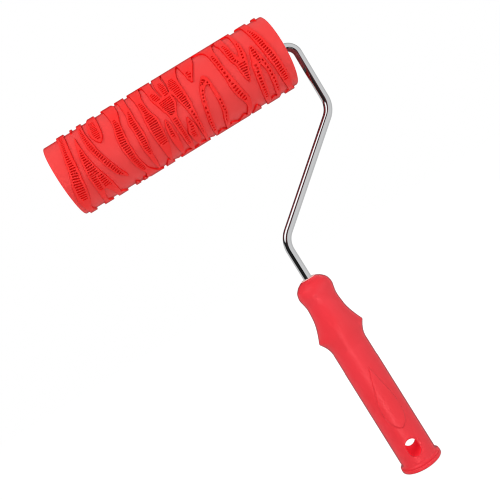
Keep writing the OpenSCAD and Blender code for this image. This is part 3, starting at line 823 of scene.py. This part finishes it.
def sleeve_mesh(material):
    """The rubber sleeve: a tube with rounded rims whose outside carries the relief pattern."""
    angles = np.arange(ROWS) * 360.0 / ROWS - 180.0
    reach = SLEEVE_HALF - RIM_ROUND
    xs = np.linspace(-reach, reach, COLUMNS + 1)
    field, in_slot = relief_field(angles, xs)
    move_around, move_along, raised = snapped_grid(field, xs)
    # One row of points per angle: left end, patterned outside, right end.
    right_end = arc_points(reach, GROUND_R - RIM_ROUND, RIM_ROUND, 90, 0, 6)[1:]
    right_end += [(SLEEVE_HALF, BORE_R + BORE_EDGE), (SLEEVE_HALF - BORE_EDGE, BORE_R)]
    left_end = [(-x, r) for x, r in reversed(right_end)]
    first, step = len(left_end), len(left_end) + len(xs) + len(right_end)
    outside = slice(first, first + len(xs))
    row_points = np.array(left_end + [(x, GROUND_R) for x in xs] + right_end)
    x = np.tile(row_points[:, 0], (ROWS, 1))
    radius = np.tile(row_points[:, 1], (ROWS, 1))
    theta = np.tile(np.radians(angles)[:, None], (1, step))
    x[:, outside] += move_along
    theta[:, outside] += move_around / RIDGE_R
    radius[:, outside] += RELIEF * raised - SLOT_SINK * in_slot
    points = np.stack([SLEEVE_X + x, -radius * np.cos(theta), AXIS_Z + radius * np.sin(theta)], axis=-1)
    points = points.reshape(-1, 3)
    faces, used = block_faces(raised, first, step)
    last = first + len(xs) - 1
    faces += end_faces(np.where(used[:, 0])[0], first, range(first), step)
    faces += end_faces(np.where(used[:, -1])[0], last, range(last + 1, step), step)
    # The bore.
    for row in range(0, ROWS, END_ROWS):
        low, high = row * step, (row + END_ROWS) % ROWS * step
        faces.append((low + step - 1, low, high, high + step - 1))
    needed = np.zeros(len(points), bool)
    needed[[v for face in faces for v in face]] = True
    number = np.cumsum(needed) - 1
    faces = [tuple(number[v] for v in face) for face in faces]
    piece = new_object("sleeve_skin", points[needed], faces, material)
    shade_smooth(piece, sharp_angle=50)
    return piece


# ---------------------------------------------------------------- end caps

CAP_SIDES = 144
CAP_RINGS = 62
CAP_RIBS = 6
CAP_HEAD = CAP_HIGH[0] - (SLEEVE_X + SLEEVE_HALF)
CAP_R = (CAP_HIGH[1] - CAP_LOW[1]) / 2
# Levels are shares of the cap's height; each change of level is spread over CAP_STEP.
CAP_STEP = 0.6
CAP_RIM_R = 15.6
CAP_BOSS_WALL = 3.0
CAP_RIB_HALF = 1.1
CAP_RIB_LEVEL = 0.62
CAP_FLOOR_LEVEL = 0.35
CAP_ROUND = 0.55
CAP_SPIGOT_R = 17.48
CAP_SPIGOT_WALL = 1.5
CAP_SPIGOT_LEN = CAP_HIGH[0] - CAP_LOW[0] - CAP_HEAD
CAP_BACK = -0.1
DIMPLE_R = 2.0
DIMPLE_DEPTH = 0.4
NEAR_HOLE_R = WIRE_R + 1.6
# A closed cap's face ends in a small flat of this radius, and its boss is drawn as if round this hole.
CLOSED_R = 0.4
CLOSED_HOLE_R = -0.6


def edge_drop(inside):
    """How far a quarter round has dropped at a distance inside the edge, as a share of its radius."""
    share = np.clip(1 - inside / CAP_ROUND, 0, 1)
    return 1 - math.sqrt(1 - share**2)


def cap_height(radius, angles, hole_r):
    """Outer face of the cap: a rim and a centre boss with a ribbed dish between them."""
    rim = smoothstep((radius - CAP_RIM_R) / CAP_STEP)
    boss = smoothstep((hole_r + CAP_BOSS_WALL - radius) / CAP_STEP)
    turn = (angles / (2 * math.pi) * CAP_RIBS + 0.5) % 1 - 0.5
    off_rib = np.abs(turn) * 2 * math.pi / CAP_RIBS * radius
    rib = CAP_RIB_LEVEL * smoothstep((CAP_RIB_HALF - off_rib) / 0.5)
    level = CAP_FLOOR_LEVEL + (1 - CAP_FLOOR_LEVEL) * np.maximum(np.maximum(rim, boss), rib)
    return CAP_HEAD * level - CAP_ROUND * (edge_drop(CAP_R - radius) + edge_drop(radius - hole_r))


def cap_mesh(name, side, hole_r, material):
    """A snap-in cap; side is +1 at the near end and -1 at the far end. With no hole its centre is closed."""
    closed = hole_r == 0
    inner_r = CLOSED_R if closed else hole_r
    steps = CAP_ROUND * np.array([0, 0.03, 0.12, 0.3, 0.6, 1.0])
    radii = np.concatenate([inner_r + steps, np.linspace(inner_r + 0.9, CAP_R - 0.9, CAP_RINGS),
                            CAP_R - steps[::-1]])
    angles = full_turn(CAP_SIDES)
    rings = [(radius, cap_height(radius, angles, CLOSED_HOLE_R if closed else hole_r)) for radius in radii]
    if closed:
        rings = [(radius, level - DIMPLE_DEPTH * smoothstep((DIMPLE_R - radius) / CAP_STEP))
                 for radius, level in rings]
    spigot_inner = CAP_SPIGOT_R - CAP_SPIGOT_WALL
    back = [(CAP_R, 0.0), (CAP_SPIGOT_R, 0.0), (CAP_SPIGOT_R, 0.6 - CAP_SPIGOT_LEN),
            (CAP_SPIGOT_R - 0.5, -CAP_SPIGOT_LEN), (spigot_inner, -CAP_SPIGOT_LEN),
            (spigot_inner, CAP_BACK), (inner_r, CAP_BACK)]
    rings += [(radius, np.full(CAP_SIDES, level)) for radius, level in back]
    end_x = SLEEVE_X + side * SLEEVE_HALF
    points = [np.stack([end_x + side * level, side * radius * np.cos(angles),
                        AXIS_Z + radius * np.sin(angles)], axis=-1) for radius, level in rings]
    if closed:
        faces = ring_faces(len(rings), CAP_SIDES) + end_discs(len(rings), CAP_SIDES)
    else:
        faces = ring_faces(len(rings), CAP_SIDES, closed=True)
    piece = new_object(name, np.concatenate(points), faces, material)
    shade_smooth(piece, sharp_angle=38)
    return piece


# ---------------------------------------------------------------- wire frame

WIRE_SIDES = 64
WIRE_CHAMFER = 0.8
SHOULDER_REACH = 11.6
LEG_LEAN = 1.2
KNEE_Z = 248.8
ELBOW_Z = 184.4
SHOULDER_BEND = 8.5
KNEE_BEND = 17.0
BEND_STEP = 2.5


def bend_points(before, corner, after, radius):
    """Points of the arc that rounds a corner of the wire."""
    into = (corner - before) / np.linalg.norm(corner - before)
    out = (after - corner) / np.linalg.norm(after - corner)
    turn = math.atan2(into[0] * out[1] - into[1] * out[0], into @ out)
    start = corner - into * radius * math.tan(abs(turn) / 2)
    centre = start + np.array([-into[1], into[0]]) * math.copysign(radius, turn)
    x, z = start - centre
    steps = max(4, int(abs(math.degrees(turn)) / BEND_STEP))
    angles = [turn * k / steps for k in range(steps + 1)]
    return [centre + np.array([x * math.cos(a) - z * math.sin(a), x * math.sin(a) + z * math.cos(a)])
            for a in angles]


def wire_centreline():
    """Points along the bent wire in the XZ plane, with an arc at each inner corner."""
    shoulder_x = SLEEVE_X + SLEEVE_HALF + SHOULDER_REACH
    corners = np.array([(FREE_END_X, AXIS_Z), (shoulder_x, AXIS_Z), (shoulder_x - LEG_LEAN, KNEE_Z),
                        (0.0, ELBOW_Z), (0.0, TANG_END)])
    path = [corners[0]]
    for k, radius in enumerate([SHOULDER_BEND, KNEE_BEND, KNEE_BEND]):
        path += bend_points(*corners[k:k + 3], radius)
    return np.array(path + [corners[-1]])


def wire_mesh(material):
    """The wire swept along its centreline, with chamfered ends."""
    path = wire_centreline()
    tangents = np.gradient(path, axis=0)
    tangents[0], tangents[-1] = path[1] - path[0], path[-1] - path[-2]
    tangents /= np.linalg.norm(tangents, axis=1)[:, None]
    tip_r = WIRE_R - WIRE_CHAMFER
    first, last = tangents[0], tangents[-1]
    stations = [(path[0], first, tip_r), (path[0] + first * WIRE_CHAMFER, first, WIRE_R)]
    stations += [(at, tangent, WIRE_R) for at, tangent in zip(path[1:-1], tangents[1:-1])]
    stations += [(path[-1] - last * WIRE_CHAMFER, last, WIRE_R), (path[-1], last, tip_r)]
    angles = full_turn(WIRE_SIDES)
    points = []
    for at, tangent, radius in stations:
        outward = radius * np.cos(angles)
        points.append(np.stack([at[0] - tangent[1] * outward, radius * np.sin(angles),
                                at[1] + tangent[0] * outward], axis=-1))
    faces = ring_faces(len(stations), WIRE_SIDES) + end_discs(len(stations), WIRE_SIDES)
    piece = new_object("wire_skin", np.concatenate(points), faces, material)
    shade_smooth(piece, sharp_angle=35)
    return piece


# ---------------------------------------------------------------- handle

HANDLE_SIDES = 192
# How strongly the even steps round the grip are drawn towards its front and back.
GATHER = 0.18
# Spacing of the levels across the slot, up the handle and over the nose.
SLOT_STEP, LEVEL_STEP, NOSE_STEP = 0.4, 0.6, 0.25
GRIP_R = 13.6
NECK_R = 13.45
NECK_Z = 81.0
BUTT_R = (HANDLE_HIGH[1] - HANDLE_LOW[1]) / 2
BUTT_T = 3.2
BUTT_RINGS = (8.0, BUTT_R - 4)
BUTT_EDGE = 1.0
BUTT_FILLET = 2.6
NOSE_START, NOSE_Z = 150, 153.2
MOUTH_TOP = 153.6
WING_Z = 109.0
WING_OUT = 4.4
WING_UP, WING_DOWN = 17.0, 11.0
WING_POWER = 1.9
# Height, half width and half depth of the handle's head.
HEAD = [(95, 13.15, 13.15), (98, 13.45, 13.55), (103, 13.5, 14.1), (109, 13.6, 14.8), (117, 13.4, 14.7),
        (125, 12.7, 13.4), (134, 12.1, 12.2), (138.5, 12.7, 12.6), (142.7, 13.5, 13.1), (147, 12.75, 12.4),
        (149.2, 11.35, 11.1), (151.2, 9.25, 9.1), (152.5, 7.1, 7.1), (NOSE_Z, 5.6, 5.6)]
HEAD_START = 97.0
# Radius and depth below the lip of each ring of the mouth, down to the socket that holds the wire.
MOUTH = [(5.3, 0.1), (5.0, 0.0), (4.7, 0.15), (4.45, 0.5), (4.1, 2.2), (3.7, 2.6), (WIRE_R + 0.03, 2.7)]
SOCKET_EXTRA = 2.0
PAD_BOTTOM, PAD_TOP = 32.5, 80.3
PAD_HALF_W = 7.6
PAD_TIP_SHIFT = 2.0
PAD_PROUD = 0.75
PAD_EDGE = 0.5
SLOT_Z = 16.3
SLOT_W, SLOT_L = 9.3, 13.3
SLOT_STRAIGHT = (SLOT_L - SLOT_W) / 2
SLOT_LIP = 0.8
SLOT_LIP_DEPTH = 0.5
SLOT_MARGIN = 1.5
CUTTER_REACH = 20.0
# The slot is turned a few degrees about the handle's axis.
SLOT_TURN = math.radians(-4.7)


def grip_levels():
    """Levels of the butt and grip as (height, half width, half depth, wing), from the bottom."""
    outline = [(radius, 0.0) for radius in BUTT_RINGS]
    outline += arc_points(BUTT_R - BUTT_EDGE, BUTT_EDGE, BUTT_EDGE, -90, 0, 8)
    outline += arc_points(BUTT_R - BUTT_EDGE, BUTT_T - BUTT_EDGE, BUTT_EDGE, 0, 70, 8)
    outline += arc_points(GRIP_R + BUTT_FILLET, BUTT_T + BUTT_FILLET - 0.1, BUTT_FILLET, 250, 180, 10)
    slot_top = SLOT_Z + SLOT_L / 2 + SLOT_MARGIN
    outline += [(GRIP_R, z) for z in np.arange(outline[-1][1] + SLOT_STEP, slot_top, SLOT_STEP)]
    for z in np.arange(slot_top, HEAD_START - 0.5, LEVEL_STEP):
        outline.append((GRIP_R - (GRIP_R - NECK_R) * smoothstep((z - NECK_Z) / 2.0), z))
    return [(z, radius, radius, 0.0) for radius, z in outline]


def head_levels():
    """Levels of the wings, neck and nose, in the same form."""
    widths = [(z, half_width) for z, half_width, _ in HEAD]
    depths = [(z, half_depth) for z, _, half_depth in HEAD]
    heights = np.concatenate([np.arange(HEAD_START, NOSE_START, LEVEL_STEP),
                              np.arange(NOSE_START, NOSE_Z, NOSE_STEP), [NOSE_Z]])
    offset = heights - WING_Z
    away = (np.hypot(offset, 0.5) - 0.5) / np.where(offset > 0, WING_UP, WING_DOWN)
    wings = WING_OUT * np.clip(1 - away, 0, 1) ** WING_POWER
    return list(zip(heights, curve_through(widths, heights), curve_through(depths, heights), wings))


def pad_inset(x, z):
    """Distance inside the leaf outline of the thumb pad, negative outside, in millimetres."""
    share = np.clip((z - PAD_BOTTOM) / (PAD_TOP - PAD_BOTTOM), 0.0, 1.0)
    half = PAD_HALF_W * np.sin(np.pi * share**0.62) * (1 - 0.25 * share)
    across = half - np.abs(x - PAD_TIP_SHIFT * share**2)
    slope = np.gradient(half, axis=0) / np.maximum(np.gradient(z, axis=0), 1e-3)
    ends = np.minimum(z - PAD_BOTTOM, PAD_TOP - z)
    return np.minimum(across / np.sqrt(1 + slope**2), ends)


def slot_distance(x, z):
    """Distance from the hanging slot's outline, negative inside it."""
    beyond = np.maximum(np.abs(z - SLOT_Z) - SLOT_STRAIGHT, 0)
    return np.hypot(x, beyond) - SLOT_W / 2


def cut_slot(piece, material):
    """Cuts the hanging slot right through the handle."""
    outline = arc_points(0, SLOT_Z + SLOT_STRAIGHT, SLOT_W / 2, 0, 180, 32)
    outline += arc_points(0, SLOT_Z - SLOT_STRAIGHT, SLOT_W / 2, 180, 360, 32)
    stations = (-CUTTER_REACH, 0.0, CUTTER_REACH)
    cos, sin = math.cos(SLOT_TURN), math.sin(SLOT_TURN)
    points = [(x * cos - y * sin, x * sin + y * cos, z) for y in stations for x, z in outline]
    faces = ring_faces(len(stations), len(outline)) + end_discs(len(stations), len(outline))
    cutter = new_object("slot_cutter", points, faces, material)
    cut = piece.modifiers.new("slot", "BOOLEAN")
    cut.object = cutter
    cut.operation = "DIFFERENCE"
    cut.solver = "EXACT"
    bpy.context.view_layer.update()
    evaluated = piece.evaluated_get(bpy.context.evaluated_depsgraph_get())
    baked = bpy.data.meshes.new_from_object(evaluated)
    piece.modifiers.clear()
    piece.data = baked
    bpy.data.objects.remove(cutter)


def handle_mesh(material):
    """The one-piece handle with flange, thumb pads, wings, nose bead and the wire's socket."""
    height, half_width, half_depth, wing = np.array(grip_levels() + head_levels()).T[:, :, None]
    even = full_turn(HANDLE_SIDES)
    angles = even + GATHER * np.sin(2 * even)
    cos, sin = np.cos(angles)[None, :], np.sin(angles)[None, :]
    z = np.repeat(height, HANDLE_SIDES, axis=1)
    x = cos * (half_width + wing * np.abs(cos) ** 3)
    y = sin * half_depth
    # The pads and the slot's lips belong to the front and back only, not to the sides.
    lift = PAD_PROUD * smoothstep(pad_inset(x, z) / PAD_EDGE + 0.5) * (np.abs(sin) > 0.3)
    gap = slot_distance(x, z)
    rounded = np.clip(1 - gap / SLOT_LIP, 0, 1) ** 2 * (gap > -SLOT_MARGIN) * (np.abs(sin) > 0.7)
    scale = 1 + (lift - SLOT_LIP_DEPTH * rounded) / GRIP_R
    points = [np.stack([x * scale, y * scale, z], axis=-1).reshape(-1, 3)]
    mouth = [(radius, MOUTH_TOP - depth) for radius, depth in MOUTH]
    mouth.append((MOUTH[-1][0], TANG_END - SOCKET_EXTRA))
    for radius, level in mouth:
        points.append(np.stack([np.cos(angles) * radius, np.sin(angles) * radius,
                                np.full(HANDLE_SIDES, level)], axis=-1))
    rings = len(height) + len(mouth)
    faces = ring_faces(rings, HANDLE_SIDES) + end_discs(rings, HANDLE_SIDES)
    piece = new_object("handle_skin", np.concatenate(points), faces, material)
    cut_slot(piece, material)
    shade_smooth(piece, sharp_angle=42)
    return piece


# ---------------------------------------------------------------- assembly

def stand_in(piece, body, node):
    """The piece moves with the body and stands for the CAD node, which is hidden."""
    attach(piece, body)
    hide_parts(node)


def build_pieces():
    """The five pieces made here, and the finishes of the CAD meshes that show as they are."""
    cap = cap_plastic()
    stand_in(sleeve_mesh(sleeve_rubber()), "roller", "pattern_sleeve")
    stand_in(cap_mesh("near_cap_skin", 1, NEAR_HOLE_R, cap), "roller", "near_cap")
    stand_in(cap_mesh("far_cap_skin", -1, 0, cap), "roller", "far_cap")
    stand_in(wire_mesh(wire_chrome()), "frame", "wire_frame")
    stand_in(handle_mesh(handle_plastic()), "frame", "handle")
    finishes = [
        (hub_plastic(), ("near_hub", "far_hub")),
        (core_plastic(), ("core_tube",)),
        (bush_nylon(), ("near_bush", "far_bush")),
        (zinc_steel(), ("near_washer", "far_washer", "stop_collar", "spring_washer", "lock_nut")),
    ]
    for material, nodes in finishes:
        for node in nodes:
            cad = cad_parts[node]
            for material_slot in cad.material_slots:
                material_slot.material = material
            if not cad.material_slots:
                cad.data.materials.append(material)


# ---------------------------------------------------------------- stage, light and camera

FLOOR_DROP = 0.0004
FLOOR_HALF = 4.0


def floor_material():
    """White to the camera with only a faint shadow, and a plain pale surface to every other ray."""
    material, tree, shader = new_material("floor")
    set_inputs(tree, shader, {"Base Color": grey(0.8), "Roughness": 0.9, "Specular IOR Level": 0.0})
    glow = add_node(tree, "Emission", {"Strength": 0.93}).outputs[0]
    faint = add_node(tree, "BsdfDiffuse", {"Color": grey(0.16)}).outputs[0]
    seen = add_node(tree, "AddShader", {0: glow, 1: faint}).outputs[0]
    camera_ray = add_node(tree, "LightPath").outputs["Is Camera Ray"]
    surface = pick_shader(tree, camera_ray, shader.outputs[0], seen)
    set_inputs(tree, tree.nodes["Material Output"], {"Surface": surface})
    return material


def make_floor():
    """A large square just below the object, left out of mirrors."""
    corners = [(-1, -1), (1, -1), (1, 1), (-1, 1)]
    mesh = bpy.data.meshes.new("floor")
    mesh.from_pydata([(x * FLOOR_HALF, y * FLOOR_HALF, -FLOOR_DROP) for x, y in corners], [], [(0, 1, 2, 3)])
    mesh.materials.append(floor_material())
    floor = bpy.data.objects.new("floor", mesh)
    bpy.context.scene.collection.objects.link(floor)
    floor.visible_glossy = False


DOME_LEVEL = 0.34
DOME_RISE = 0.15
# What the chrome mirrors: how bright each wall is, and where it starts and is full.
RIGHT_WALL, RIGHT_WALL_EDGE = 0.63, (0.0, 0.07)
RIGHT_WALL_FADE, RIGHT_WALL_BACK = 0.24, (-0.35, 0.5)
REAR_WALL, REAR_WALL_EDGE, REAR_WALL_TOP = 0.55, (0.0, 0.12), (0.4, 0.2)
CEILING, CEILING_EDGE = 0.7, (0.8, 0.95)
DARK_SIDE = 0.015
# Heading, half angle, softness and strength of each light as it shows in reflections.
KEY_PATCH = ((-0.565, -0.465, 0.685), 23, 1.5, 1.15)
SHEEN_PATCH = ((-0.27, -0.94, -0.26), 8, 4.0, 11.0)
# Faint red patches that the roller's shaded side adds to them, given in the same way.
RED_PATCHES = [((-0.5, 0.22, 0.83), 26, 8.0, 0.11), ((-0.2, -0.95, 0.32), 12, 6.0, 0.07)]
RED_LIGHT = (1.0, 0.2, 0.25)


def patch_of_light(tree, view, heading, half_angle, softness, strength):
    """A soft-edged round patch of light round one heading."""
    facing = vector_maths(tree, "DOT_PRODUCT", view, Vector(heading).normalized())
    inner = math.cos(math.radians(half_angle - softness))
    outer = math.cos(math.radians(half_angle + softness))
    return maths(tree, "MULTIPLY", smooth_edge(tree, facing, outer, inner), strength)


def background(tree, strength, colour=(1.0, 1.0, 1.0)):
    """Light from all round with the given strength and colour."""
    return add_node(tree, "Background", {"Color": colour, "Strength": strength}).outputs[0]


def pick_shader(tree, factor, off, on):
    """The second shader where the factor is 1 and the first where it is 0."""
    return add_node(tree, "MixShader", {0: factor, 1: off, 2: on}).outputs[0]


def mirrored_studio(tree, view, x, y, z):
    """Brightness of the studio that the chrome mirrors: two walls, a ceiling, two lights and a dark side."""
    fade = maths(tree, "MULTIPLY", smooth_edge(tree, y, *RIGHT_WALL_BACK), RIGHT_WALL_FADE)
    right_level = maths(tree, "SUBTRACT", RIGHT_WALL, fade)
    right_wall = maths(tree, "MULTIPLY", smooth_edge(tree, x, *RIGHT_WALL_EDGE), right_level)
    rear_wall = maths(tree, "MULTIPLY", smooth_edge(tree, y, *REAR_WALL_EDGE),
                      smooth_edge(tree, z, *REAR_WALL_TOP), REAR_WALL)
    ceiling = maths(tree, "MULTIPLY", smooth_edge(tree, z, *CEILING_EDGE), CEILING)
    lights = [patch_of_light(tree, view, *patch) for patch in (KEY_PATCH, SHEEN_PATCH)]
    return maths(tree, "MAXIMUM", right_wall, ceiling, rear_wall, DARK_SIDE, *lights)


def make_world():
    """White to the camera, an even dome for diffuse light, and a studio with a dark side for reflections."""
    world = bpy.data.worlds.new("studio")
    world.use_nodes = True
    bpy.context.scene.world = world
    tree = world.node_tree
    tree.nodes.clear()
    view = add_node(tree, "TexCoord").outputs["Generated"]
    x, y, z = add_node(tree, "SeparateXYZ", {0: view}).outputs
    studio = mirrored_studio(tree, view, x, y, z)
    red_glow = maths(tree, "MAXIMUM", *(patch_of_light(tree, view, *patch) for patch in RED_PATCHES))
    mirrored = add_node(tree, "AddShader", {
        0: background(tree, studio), 1: background(tree, red_glow, RED_LIGHT),
    }).outputs[0]
    dome = maths(tree, "ADD", maths(tree, "MULTIPLY", z, DOME_RISE), DOME_LEVEL)
    path = add_node(tree, "LightPath")
    seen = pick_shader(tree, path.outputs["Is Glossy Ray"], background(tree, dome), mirrored)
    seen = pick_shader(tree, path.outputs["Is Camera Ray"], seen, background(tree, 1.0))
    add_node(tree, "OutputWorld", {"Surface": seen})


# Direction from the object, distance and size in metres, and watts of each softbox.
SOFTBOXES = {
    "key": ((-0.536, -0.53, 0.657), 2.2, 1.6, 28.5),
    "front": ((0.35, -0.92, -0.25), 1.3, 0.8, 9.6),
    "fill": ((0.9, -0.42, 0.0), 1.5, 1.0, 5.5),
    "back": ((0.5, 0.8, 0.45), 1.4, 0.9, 8.0),
}


def soft_light(name, direction, distance, size, watts, aim):
    """Square softbox that faces the aim point; mirrors see the patches in the world instead of the lamp."""
    lamp = bpy.data.lights.new(name, "AREA")
    lamp.shape = "SQUARE"
    lamp.size = size
    lamp.energy = watts
    light = bpy.data.objects.new(name, lamp)
    bpy.context.scene.collection.objects.link(light)
    heading = Vector(direction).normalized()
    light.location = aim + heading * distance
    light.rotation_mode = "QUATERNION"
    light.rotation_quaternion = heading.to_track_quat("Z", "Y")
    light.visible_glossy = False


CAMERA_LENS = 50.0
CAMERA_SENSOR = 36.0
CAMERA_DISTANCE = 0.4937
CAMERA_AZIMUTH = math.radians(1.96)
CAMERA_TILT = math.radians(0.36)
CAMERA_ROLL = math.radians(31.94)
AIM_FROM_SLEEVE = Vector((-3.6, 0.0, -110.2)) * MM
# Width in pixels that each pixel gathers light from; a narrow one keeps the ladders crisp.
PIXEL_FILTER = 1.1


def make_camera(sleeve_middle):
    """Camera in front of the object and close to level, rolled so that the handle runs down to the right."""
    flat = Vector((math.sin(CAMERA_AZIMUTH), math.cos(CAMERA_AZIMUTH), 0.0))
    forward = flat * math.cos(CAMERA_TILT) + Vector((0.0, 0.0, math.sin(CAMERA_TILT)))
    level_right = Vector((flat.y, -flat.x, 0.0))
    level_up = level_right.cross(forward)
    right = level_right * math.cos(CAMERA_ROLL) - level_up * math.sin(CAMERA_ROLL)
    up = level_right * math.sin(CAMERA_ROLL) + level_up * math.cos(CAMERA_ROLL)
    lens = bpy.data.cameras.new("camera")
    lens.lens = CAMERA_LENS
    lens.sensor_width = CAMERA_SENSOR
    camera = bpy.data.objects.new("camera", lens)
    bpy.context.scene.collection.objects.link(camera)
    turn = Matrix((right, up, -forward)).transposed()
    spot = sleeve_middle + AIM_FROM_SLEEVE - forward * CAMERA_DISTANCE
    camera.matrix_world = Matrix.Translation(spot) @ turn.to_4x4()
    bpy.context.scene.camera = camera


build_pieces()
make_floor()
make_world()
for name, softbox in SOFTBOXES.items():
    soft_light(name, *softbox, aim=(CAD_BOX[0] + CAD_BOX[1]) / 2)
make_camera(Vector((SLEEVE_X, 0.0, AXIS_Z)) * MM)
bpy.context.scene.view_settings.view_transform = "Standard"
bpy.context.scene.cycles.filter_width = PIXEL_FILTER
